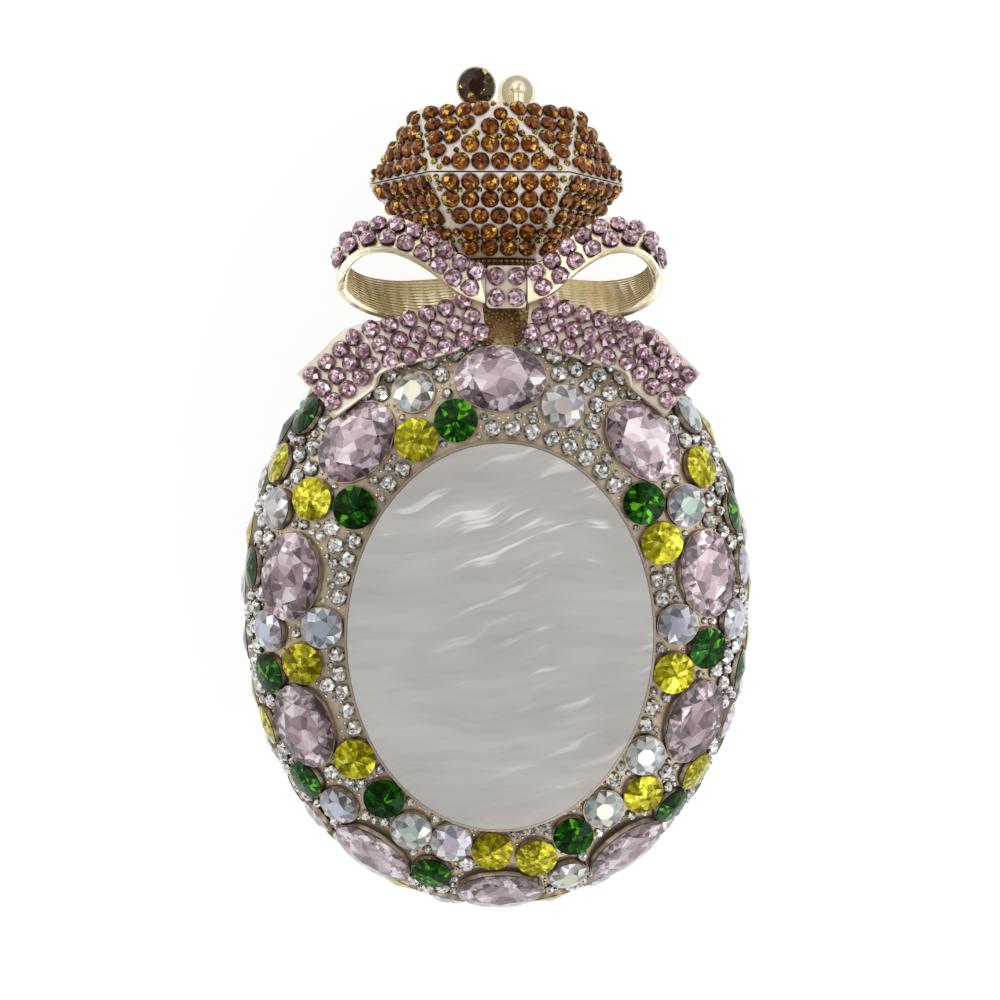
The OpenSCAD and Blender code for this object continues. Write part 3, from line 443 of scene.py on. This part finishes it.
def components(obj):
    """Vertex arrays and face data of each separate solid in a CAD mesh."""
    me = obj.data
    co = np.empty(len(me.vertices) * 3)
    me.vertices.foreach_get("co", co)
    co = co.reshape(-1, 3)
    _, same = np.unique(np.round(co * 1e6).astype(np.int64), axis=0, return_inverse=True)
    same = same.ravel()
    label = np.arange(same.max() + 1)
    me.calc_loop_triangles()
    tri = np.empty(len(me.loop_triangles) * 3, dtype=np.int32)
    me.loop_triangles.foreach_get("vertices", tri)
    tri = tri.reshape(-1, 3)
    st = same[tri]
    while True:
        low = label[st].min(axis=1)
        before = label.copy()
        for k in range(3):
            np.minimum.at(label, st[:, k], low)
        label = label[label]
        if (label == before).all():
            break
    owner = label[st[:, 0]]
    order = np.argsort(owner, kind="stable")
    cuts = np.flatnonzero(np.diff(owner[order])) + 1
    for part in np.split(order, cuts):
        yield co[tri[part]]


def seat_of(tris):
    """Seat centre, axis, long and short direction, half length, half width,
    height and radius."""
    cross = np.cross(tris[:, 1] - tris[:, 0], tris[:, 2] - tris[:, 0])
    area = np.linalg.norm(cross, axis=1)
    keep = area > 1e-12
    tris, cross, area = tris[keep], cross[keep], area[keep]
    unit = cross / area[:, None]
    best, mask = -1.0, None
    for i in np.argsort(-area)[:6]:
        near = unit @ unit[i] > 0.9995
        if area[near].sum() > best:
            best, mask, normal = area[near].sum(), near, unit[i]
    axis = -normal
    centre = (tris[mask].mean(axis=1) * area[mask][:, None]).sum(axis=0) / area[mask].sum()
    rel = tris.reshape(-1, 3) - centre
    along = rel @ axis
    flat = rel - np.outer(along, axis)
    values, vectors = np.linalg.eigh(flat.T @ flat)
    x = vectors[:, 2]
    y = np.cross(axis, x)
    return (centre, axis, x, y, np.abs(flat @ x).max(), np.abs(flat @ y).max(), along.max(),
            np.linalg.norm(flat, axis=1).max())


def stones_mesh(name, seats, kind, spin=True, calm=1.0):
    """One mesh of cut stones, a unit stone set on each seat."""
    v0, faces, light, table = kind
    verts, polys, colours = [], [], []
    for k, (centre, axis, x, y, rx, ry, h) in enumerate(seats):
        a = rng.uniform(0, 2 * math.pi) if spin else 0.0
        c, s = math.cos(a), math.sin(a)
        lx = v0[:, 0] * c - v0[:, 1] * s
        ly = v0[:, 0] * s + v0[:, 1] * c
        verts.append(centre + np.outer(lx * rx, x) + np.outer(ly * ry, y) + np.outer(v0[:, 2] * h, axis))
        polys += [tuple(k * len(v0) + i for i in f) for f in faces]
        # Painted light: each stone, and each of its facets, is made a little lighter or darker at random
        painted_light_shift = rng.uniform(-0.12, 0.12)
        painted_light_jitter = rng.uniform(-0.16, 0.16, len(faces)) * np.where(table > 0, calm, 1)
        hue = rng.uniform(0, 1)
        painted_sheen_hues = (hue + rng.uniform(-0.28, 0.28, len(faces)) * np.where(table > 0, 0.2, 1)) % 1.0
        for f, w, j, q, t in zip(faces, light, painted_light_jitter, painted_sheen_hues, table):
            colours += [(min(1, max(0, w + painted_light_shift + j)), q, t, 1)] * len(f)
    me = bpy.data.meshes.new(name)
    me.from_pydata(np.concatenate(verts).tolist(), [], polys)
    attr = me.color_attributes.new("facet", "FLOAT_COLOR", "CORNER")
    attr.data.foreach_set("color", np.array(colours, dtype=np.float32).ravel())
    me.update()
    return add_object(name, me)


def seats_of(name, round_stone, lap):
    """Seats of all stones in a CAD node, each wider by the lap."""
    seats = []
    for tris in components(nodes[name]):
        centre, axis, x, y, rx, ry, h, r = seat_of(tris)
        if round_stone:
            rx = ry = r
        seats.append((centre, axis, x, y, rx + lap * MM, ry + lap * MM, h))
    return seats


def finish_piece(o, material, body, slot, *replaced):
    """Material and body of a piece, and the CAD nodes that it replaces; its slot is not used."""
    o.data.materials.clear()
    o.data.materials.append(material)
    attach(o, body)
    if replaced:
        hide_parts(*replaced)


SEATS = {}
for half in HALVES:
    for kind in KIND:
        cad = half + "_" + kind
        look = LOOK.get(kind, kind)
        SEATS[cad] = seats_of(cad, kind != "oval_stones", LAP[kind])
        o = stones_mesh(half + "_cut_" + kind, SEATS[cad], KIND[kind], spin=kind != "oval_stones",
                        calm=CALM.get(kind, 1.0))
        finish_piece(o, gems[look], BODY[half], SLOT[look], cad)
for kind in ("bow_loop_stones", "bow_tail_stones", "bow_knot_stones"):
    o = stones_mesh(kind + "_cut", seats_of(kind, True, BOW_LAP), SMALL)
    finish_piece(o, gems["pink_stones"], "front_half", "pink_stone", kind)


# Smallest stones. Their sizes are diameters in millimetres.
SKIN_SIZES = (3.3, 2.8, 2.4, 2.0, 1.7, 1.4)
SKIN_SAMPLES = 26000
PRONG_SIZE = 0.75
PRONG_SAMPLES = 30000
CORNER_SIZES = (3.3, 2.8, 2.3, 1.9, 1.5, 1.2)
CORNER_SAMPLES = 3000
AMBER_FROM = 2.6
SINK = 0.1 * MM
# How far small stones stay from each other, and prongs from anything
STONE_GAP = 0.06 * MM
PRONG_GAP = 0.3 * MM
# How far small stones and prongs stay from the castings round them
SKIN_CLEAR = 0.3 * MM
PRONG_CLEAR = 0.25 * MM
CORNER_CLEAR = 0.45 * MM
# Height over the surface from which that is measured
LOOK_HEIGHT = 0.4 * MM
# What is left free round the bezel, and beside the plane where the halves meet
PANEL_MARGIN = 0.8 * MM
RIM_BAND = 3.6 * MM
# How far the small stones stay from each kind of larger stone
WALLS = {"oval": 0.12, "green": 0.12, "yellow": 0.12, "aurora": 0.24, "clear": 0.06}


def triangles(name):
    """Triangles of a CAD mesh with their unit normals and areas."""
    me = nodes[name].data
    me.calc_loop_triangles()
    co = np.array([v.co for v in me.vertices])
    tris = co[np.array([t.vertices for t in me.loop_triangles])]
    cross = np.cross(tris[:, 1] - tris[:, 0], tris[:, 2] - tris[:, 0])
    area = np.linalg.norm(cross, axis=1)
    keep = area > 1e-14
    return tris[keep], cross[keep] / area[keep][:, None], area[keep] / 2


def tree_of(names):
    """Search tree over the triangles of several CAD nodes."""
    parts = [triangles(name)[0] for name in names]
    points = np.concatenate(parts).reshape(-1, 3)
    return BVHTree.FromPolygons(points.tolist(), [(i, i + 1, i + 2) for i in range(0, len(points), 3)])


def sample(tris, unit, area, count):
    """Random points spread evenly over the triangles, with their normals."""
    k = rng.choice(len(tris), size=count, p=area / area.sum())
    a, b = rng.uniform(0, 1, count), rng.uniform(0, 1, count)
    flip = a + b > 1
    a, b = np.where(flip, 1 - a, a), np.where(flip, 1 - b, b)
    t = tris[k]
    return t[:, 0] + a[:, None] * (t[:, 1] - t[:, 0]) + b[:, None] * (t[:, 2] - t[:, 0]), unit[k]


class Taken:
    """Places of the stones so far, as ellipses on their seats."""
    def __init__(self):
        self.rows = np.empty((0, 14))

    def add(self, seat, wall):
        centre, axis, x, y, rx, ry, _ = seat
        self.rows = np.vstack([self.rows, [*centre, *axis, *x, *y, rx + wall, ry + wall]])

    def room(self, points, r):
        """How far a stone of radius r at each point would stand from the nearest."""
        room = np.full(len(points), 1.0)
        for row in self.rows:
            rel = points - row[:3]
            apart = np.hypot(rel @ row[6:9] / (row[12] + r), rel @ row[9:12] / (row[13] + r)) - 1
            room = np.where(np.abs(rel @ row[3:6]) < 4 * MM, np.minimum(room, apart * (row[13] + r)), room)
        return room


def unit_vector(v):
    return v / np.linalg.norm(v)


def across(axis):
    """Two directions across an axis that isn't along the clutch."""
    x = unit_vector(np.cross(axis, (0.0, 1.0, 0.02)))
    return x, np.cross(axis, x)


def seat_at(c, axis, d):
    """Seat of a small stone of diameter d, sunk a little into the surface."""
    x, y = across(axis)
    return c - axis * SINK, axis, x, y, d / 2, d / 2, 0.3 * d + 0.35 * MM


def fill(points, normals, taken, tree, d, clear, gap=STONE_GAP):
    """Stones of one size on the points that are free, each as close to its
    neighbours as the gap lets it."""
    room = taken.room(points, d / 2)
    keep = np.flatnonzero(room > 0)
    keep = np.array([i for i in keep if tree.find_nearest(
        Vector(points[i] + normals[i] * LOOK_HEIGHT), d / 2 + clear)[0] is None], dtype=int)
    points, normals, room = points[keep], normals[keep], room[keep]
    seats = []
    while len(points):
        i = np.argmin(room)
        c = points[i]
        seats.append(seat_at(c, normals[i], d))
        taken.add(seats[-1], gap)
        room = np.minimum(room, np.linalg.norm(points - c, axis=1) - d - gap)
        keep = room > 0
        points, normals, room = points[keep], normals[keep], room[keep]
    return seats


def fill_skin(half):
    """The smallest clear stones, in what the larger ones leave free on the skin,
    and the gold prongs that stand in the last gaps."""
    tris, unit, area = triangles(half + "_shell")
    middle = tris.mean(axis=1)
    rel = middle - PARTING
    low, high = (np.array(p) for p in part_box(half + "_bezel"))
    span, mid = (high - low) / 2 + PANEL_MARGIN, (high + low) / 2

    def from_panel(points):
        """Below 1 on the panel with its bezel, above 1 outside them."""
        return (((points - mid) / span)[:, :2] ** 2).sum(axis=1)

    def outside_panel(count):
        points, normals = sample(tris, unit, area, count)
        keep = from_panel(points) > 1
        return points[keep], normals[keep]

    outward = (unit * rel).sum(axis=1) > 0
    keep = outward & (np.abs(rel[:, 2]) > RIM_BAND) & (from_panel(middle) > 0.9)
    tris, unit, area = tris[keep], unit[keep], area[keep]
    solids = [half + "_" + n for n in ("bezel", "neck", "frame", "knuckles", "pearl")] + ["hinge_pin"]
    if half == "front":
        solids += ["bow_" + n for n in ("post", "knot", "left_loop", "right_loop",
                                        "left_tail", "right_tail")]
    tree = tree_of(solids)
    taken = Taken()
    for kind, wall in WALLS.items():
        for seat in SEATS["%s_%s_stones" % (half, kind)]:
            taken.add(seat, wall * MM)
    seats = []
    for d in SKIN_SIZES:
        seats += fill(*outside_panel(SKIN_SAMPLES), taken, tree, d * MM, SKIN_CLEAR)
    o = stones_mesh(half + "_filler_stones", seats, SMALL)
    finish_piece(o, gems["clear_stones"], BODY[half], "clear_stone")
    prongs = fill(*outside_panel(PRONG_SAMPLES), taken, tree, PRONG_SIZE * MM, PRONG_CLEAR, PRONG_GAP)
    o = stones_mesh(half + "_prongs", prongs, PRONG)
    finish_piece(o, prong_gold, BODY[half], "gold")


def fill_tier(half, tier):
    """Small stones in the corners that the rows on a stopper's facets leave free."""
    tris, unit, area = triangles("%s_stopper_%s" % (half, tier))
    rows = SEATS["%s_%s_stones" % (half, tier)]
    axes = []
    for seat in rows:
        if not any(seat[1] @ a > 0.999 for a in axes):
            axes.append(seat[1])
    solids = [half + "_" + n for n in ("knob", "knob_stone", "bead_band", "neck")]
    if half == "front":
        solids += ["bow_" + n for n in ("post", "knot", "left_loop", "right_loop",
                                        "loop_stones", "knot_stones")]
    tree = tree_of(solids)
    taken = Taken()
    for seat in rows:
        taken.add(seat, 0.05 * MM)
    amber, olive = [], []
    for axis in axes:
        near = unit @ axis > 0.999
        if not near.any():
            continue
        face = tris[near]
        a0 = face[:, 0]
        e1, e2 = face[:, 1] - a0, face[:, 2] - a0
        d11, d12, d22 = (e1 * e1).sum(1), (e1 * e2).sum(1), (e2 * e2).sum(1)
        det = d11 * d22 - d12 * d12

        def inside(q):
            r = q[:, None, :] - a0
            f1, f2 = (r * e1).sum(2), (r * e2).sum(2)
            s1, s2 = (d22 * f1 - d12 * f2) / det, (d11 * f2 - d12 * f1) / det
            return ((s1 >= 0) & (s2 >= 0) & (s1 + s2 <= 1)).any(axis=1)

        x, y = across(axis)
        ring = [(math.cos(g) * x + math.sin(g) * y) for g in np.arange(8) * math.pi / 4]
        for d in CORNER_SIZES:
            points, _ = sample(face, unit[near], area[near], CORNER_SAMPLES)
            within = np.all([inside(points + g * (d / 2 + 0.06) * MM) for g in ring], axis=0)
            points = points[within]
            found = fill(points, np.tile(axis, (len(points), 1)), taken, tree, d * MM, CORNER_CLEAR)
            (olive if d < AMBER_FROM else amber).extend(found)
    for name, seats in (("amber", amber), ("olive", olive)):
        if seats:
            o = stones_mesh("%s_%s_corner_%s" % (half, tier, name), seats, SMALL)
            finish_piece(o, gems[name + "_stones"], BODY[half], "amber_stone")


for half in HALVES:
    fill_skin(half)
    for tier in ("base", "crown"):
        fill_tier(half, tier)


# Fine relief on the castings. Measures are in millimetres.
PEBBLE_TRIES = 6000
PEBBLE_APART = 0.82
PEBBLE_RADIUS = (0.36, 0.46)


def piece(name, verts, polys, material, body, slot):
    me = bpy.data.meshes.new(name)
    me.from_pydata([tuple(p) for p in verts], [], polys)
    me.update()
    finish_piece(add_object(name, me), material, body, slot)


def pebbles(half):
    """Grains cast over the outside of the neck."""
    tris, unit, area = triangles(half + "_neck")
    out = tris.mean(axis=1) - PARTING
    out[:, 1] = 0
    out /= np.linalg.norm(out, axis=1)[:, None] + 1e-12
    outer = (unit * out).sum(axis=1) > 0.3
    tris, unit, area = tris[outer], unit[outer], area[outer]
    verts, polys, centres = [], [], np.empty((0, 3))
    for _ in range(PEBBLE_TRIES):
        k = rng.choice(len(tris), p=area / area.sum())
        a, b = rng.uniform(0, 1, 2)
        if a + b > 1:
            a, b = 1 - a, 1 - b
        c = tris[k][0] + a * (tris[k][1] - tris[k][0]) + b * (tris[k][2] - tris[k][0])
        if len(centres) and ((centres - c) ** 2).sum(axis=1).min() < (PEBBLE_APART * MM) ** 2:
            continue
        centres = np.vstack([centres, c])
        z = unit[k]
        x, y = across(z)
        r = rng.uniform(*PEBBLE_RADIUS) * MM
        base = len(verts)
        verts.append(c + z * r * 0.75)
        for ring, (w, h) in enumerate(((0.68, 0.52), (1.0, -0.1))):
            for i in range(6):
                g = (i + ring / 2) * math.pi / 3
                verts.append(c + r * (w * (math.cos(g) * x + math.sin(g) * y) + h * z))
        for i in range(6):
            j = (i + 1) % 6
            polys += [(base, base + 1 + i, base + 1 + j),
                      (base + 1 + i, base + 7 + i, base + 1 + j), (base + 1 + j, base + 7 + i, base + 7 + j)]
    piece(half + "_neck_pebbles", verts, polys, dark_gold, BODY[half], "dark_gold")


for half in HALVES:
    pebbles(half)

# Lines cast along the inner face of the loops, on the ribbon's own curve: along
# the loop, up, out, tilt of the width, share of the width
LOOP = [[0, 0.02, 0.42, 85, 0.78], [0.19, 0.22, 0.53, 75, 0.9], [0.41, 0.61, 0.53, 62, 0.96],
        [0.64, 0.83, 0.37, 50, 1], [0.86, 0.76, 0.2, 42, 1], [0.985, 0.46, 0.03, 38, 1],
        [1, 0.13, -0.2, 38, 1], [0.88, -0.09, -0.45, 45, 1], [0.66, -0.21, -0.62, 58, 1],
        [0.39, -0.22, -0.62, 70, 1], [0.15, -0.14, -0.55, 80, 0.85], [0, -0.06, -0.47, 85, 0.76]]
LOOP_START = 4.3
LOOP_LENGTH = 26.7
LOOP_SHIFT = 1.2
LOOP_MIDDLE = (70.7, 47.3)
LOOP_RISE = 12
LOOP_OUT = 6
LOOP_HALF_WIDTH = 4.4
LOOP_STEPS = 90
RIBS = 13
RIB_MARGIN = 0.6
RIB_LIFT = 0.85
# A line's section: place in its share of the width, height
RIB_SECTION = ((0.82, -0.12), (0.70, 0.2), (0.56, 0.2), (0.44, -0.12))


def spline(points, u):
    """Point at u on the smooth curve through the points."""
    last = len(points) - 1
    i = min(int(u), last - 1)
    f = u - i
    p0, p1, p2, p3 = points[max(i - 1, 0)], points[i], points[i + 1], points[min(i + 2, last)]
    return (p1 + (p2 - p0) * f / 2 + (p0 - 2.5 * p1 + 2 * p2 - p3 / 2) * f ** 2
            + (1.5 * (p1 - p2) + (p3 - p0) / 2) * f ** 3)


def loop_ribs(side):
    """The lines along one loop's inner face; side is -1 on the left, 1 on the right."""
    low, high = [], []
    for along, rise, out, tilt, share in LOOP:
        centre = np.array([side * (LOOP_LENGTH * along + LOOP_START) + LOOP_SHIFT * (1 - along),
                           LOOP_MIDDLE[0] + LOOP_RISE * rise, LOOP_MIDDLE[1] + LOOP_OUT * out])
        tilt = math.radians(tilt)
        half = np.array([0, -math.sin(tilt), math.cos(tilt)]) * LOOP_HALF_WIDTH * share
        low.append(centre - half)
        high.append(centre + half)
    rings = []
    for k in range(LOOP_STEPS + 1):
        u = 0.5 + (len(LOOP) - 2) * k / LOOP_STEPS
        a, b = spline(low, u), spline(high, u)
        ahead = spline(low, u + 0.02) + spline(high, u + 0.02)
        behind = spline(low, u - 0.02) + spline(high, u - 0.02)
        run = unit_vector(ahead - behind)
        width = unit_vector(b - a - run * ((b - a) @ run))
        inner = side * np.cross(run, width)
        ring = []
        for r in range(RIBS):
            for place, height in RIB_SECTION:
                w = (r + place) / (RIBS + RIB_MARGIN)
                ring.append(a * (1 - w) + b * w + inner * (RIB_LIFT + height))
        rings.append(ring)
    verts = [p * MM for ring in rings for p in ring]
    row, polys = 4 * RIBS, []
    for r in range(RIBS):
        for k in range(len(rings) - 1):
            for i in range(4):
                c, d = k * row + 4 * r + i, k * row + 4 * r + (i + 1) % 4
                polys.append((c, d, d + row, c + row) if side < 0 else (c + row, d + row, d, c))
        for k in (0, len(rings) - 1):
            cap = [k * row + 4 * r + i for i in range(4)]
            polys.append(tuple(cap if (k > 0) == (side < 0) else cap[::-1]))
    name = "bow_left_loop_ribs" if side < 0 else "bow_right_loop_ribs"
    piece(name, verts, polys, ribbon_gold, "front_half", "gold")


for side in (-1, 1):
    loop_ribs(side)


# CAD pieces that stay
def dress(name, material):
    o = nodes[name]
    o.data.materials.clear()
    o.data.materials.append(material)


for half in HALVES:
    for part in ("frame", "bezel", "knuckles"):
        dress(half + "_" + part, gold)
    dress(half + "_collets", shaded_collet_gold)
    for part in ("stopper_base", "stopper_crown"):
        dress(half + "_" + part, stopper_gold)
    dress(half + "_knob", ribbon_gold)
    dress(half + "_shell", cast_gold)
    for part in ("neck", "bead_band"):
        dress(half + "_" + part, dark_gold)
    dress(half + "_lining", satin)
    dress(half + "_pearl", pearl)
dress("hinge_pin", gold)
for part in ("post", "knot", "left_tail", "right_tail"):
    dress("bow_" + part, bow_gold)
for part in ("left_loop", "right_loop"):
    dress("bow_" + part, ribbon_gold)


# Camera, floor and light
CAMERA_UP = math.radians(8.93)
CAMERA_LEFT = math.radians(1.85)
CAMERA_TARGET = Vector((0.70, 24.75, 27.0)) * MM
CAMERA_DISTANCE = 0.2613
CAMERA_LENS = 42.44
FLOOR_REACH = 6.0
FLOOR_DROP = 0.00005
LAMP_TARGET = Vector((0, 0.02, 0.03))
# Place, width, height and power of each lamp
LAMPS = {"key": ((-0.48, 0.46, 0.62), 1.1, 1.1, 3.2),
         "fill": ((0.58, 0.12, 0.58), 0.76, 0.76, 1.8),
         "low": ((0.34, -0.44, 0.64), 0.66, 0.36, 1.5)}


def add_camera():
    """The photograph's camera, above the face, a little up and to the left."""
    flat = math.cos(CAMERA_UP)
    away = Vector((-math.sin(CAMERA_LEFT) * flat, math.sin(CAMERA_UP), math.cos(CAMERA_LEFT) * flat))
    right = Vector((math.cos(CAMERA_LEFT), 0, math.sin(CAMERA_LEFT)))
    up = away.cross(right)
    place = CAMERA_TARGET + away * CAMERA_DISTANCE
    data = bpy.data.cameras.new("camera")
    data.sensor_width = 36
    data.lens = CAMERA_LENS
    data.clip_start = 0.01
    o = add_object("camera", data)
    o.matrix_world = Matrix((
        (right.x, up.x, away.x, place.x),
        (right.y, up.y, away.y, place.y),
        (right.z, up.z, away.z, place.z),
        (0, 0, 0, 1)))
    bpy.context.scene.camera = o


def seen(t):
    """1 for the rays that show a thing to the camera, straight or in a gloss."""
    path = t.nodes.new("ShaderNodeLightPath")
    either = math_node(t, "MAXIMUM", path.outputs["Is Camera Ray"], path.outputs["Is Glossy Ray"])
    return math_node(t, "MAXIMUM", either, path.outputs["Is Transmission Ray"])


def two_shaders(t, output, share, first, second):
    """The first shader and the second, mixed by the share, as the output's surface."""
    out = t.nodes.new(output)
    mix = t.nodes.new("ShaderNodeMixShader")
    link(t, share, mix.inputs["Fac"])
    link(t, first.outputs[0], mix.inputs[1])
    link(t, second.outputs[0], mix.inputs[2])
    link(t, mix.outputs[0], out.inputs["Surface"])


def add_floor():
    """A white floor that glows where it is seen and keeps the clutch's shadow."""
    r = FLOOR_REACH
    me = bpy.data.meshes.new("floor")
    me.from_pydata([(-r, -r, 0), (r, -r, 0), (r, r, 0), (-r, r, 0)], [], [(0, 1, 2, 3)])
    floor = add_object("floor", me)
    floor.location.z = -FLOOR_DROP
    m = bpy.data.materials.new("floor")
    m.use_nodes = True
    t = m.node_tree
    t.nodes.clear()
    diffuse = node(t, "ShaderNodeBsdfDiffuse", Color=(0.86, 0.86, 0.86, 1))
    glow = node(t, "ShaderNodeEmission", Strength=1.12)
    two_shaders(t, "ShaderNodeOutputMaterial", math_node(t, "MULTIPLY", seen(t), 0.8), diffuse, glow)
    me.materials.append(m)


def add_world():
    """Where it is seen, white round the horizon and dimmer overhead, where the dark
    side of a studio is. Elsewhere a weak even light."""
    world = bpy.data.worlds.new("world")
    bpy.context.scene.world = world
    world.use_nodes = True
    t = world.node_tree
    t.nodes.clear()
    even = node(t, "ShaderNodeBackground", Strength=0.3, Color=(1, 1, 1, 1))
    studio = node(t, "ShaderNodeBackground", Strength=1.0)
    where = t.nodes.new("ShaderNodeTexCoord")
    sep = t.nodes.new("ShaderNodeSeparateXYZ")
    link(t, where.outputs["Generated"], sep.inputs[0])
    c = ramp(t, [(0.0, (1, 1, 1)), (0.45, (1, 1, 1)),
                 (0.72, (0.42, 0.42, 0.43)), (1.0, (0.30, 0.30, 0.31))])
    link(t, sep.outputs["Z"], c.inputs["Fac"])
    link(t, c.outputs["Color"], studio.inputs["Color"])
    two_shaders(t, "ShaderNodeOutputWorld", seen(t), even, studio)


def add_lamp(name, where, width, height, energy):
    data = bpy.data.lights.new(name, "AREA")
    data.energy = energy
    data.shape = "RECTANGLE"
    data.size = width
    data.size_y = height
    o = add_object(name, data)
    o.location = where
    aim = LAMP_TARGET - Vector(where)
    o.rotation_euler = aim.to_track_quat("-Z", "Y").to_euler()


add_camera()
add_floor()
add_world()
for name, lamp in LAMPS.items():
    add_lamp(name, *lamp)

scene = bpy.context.scene
scene.view_settings.view_transform = "Standard"
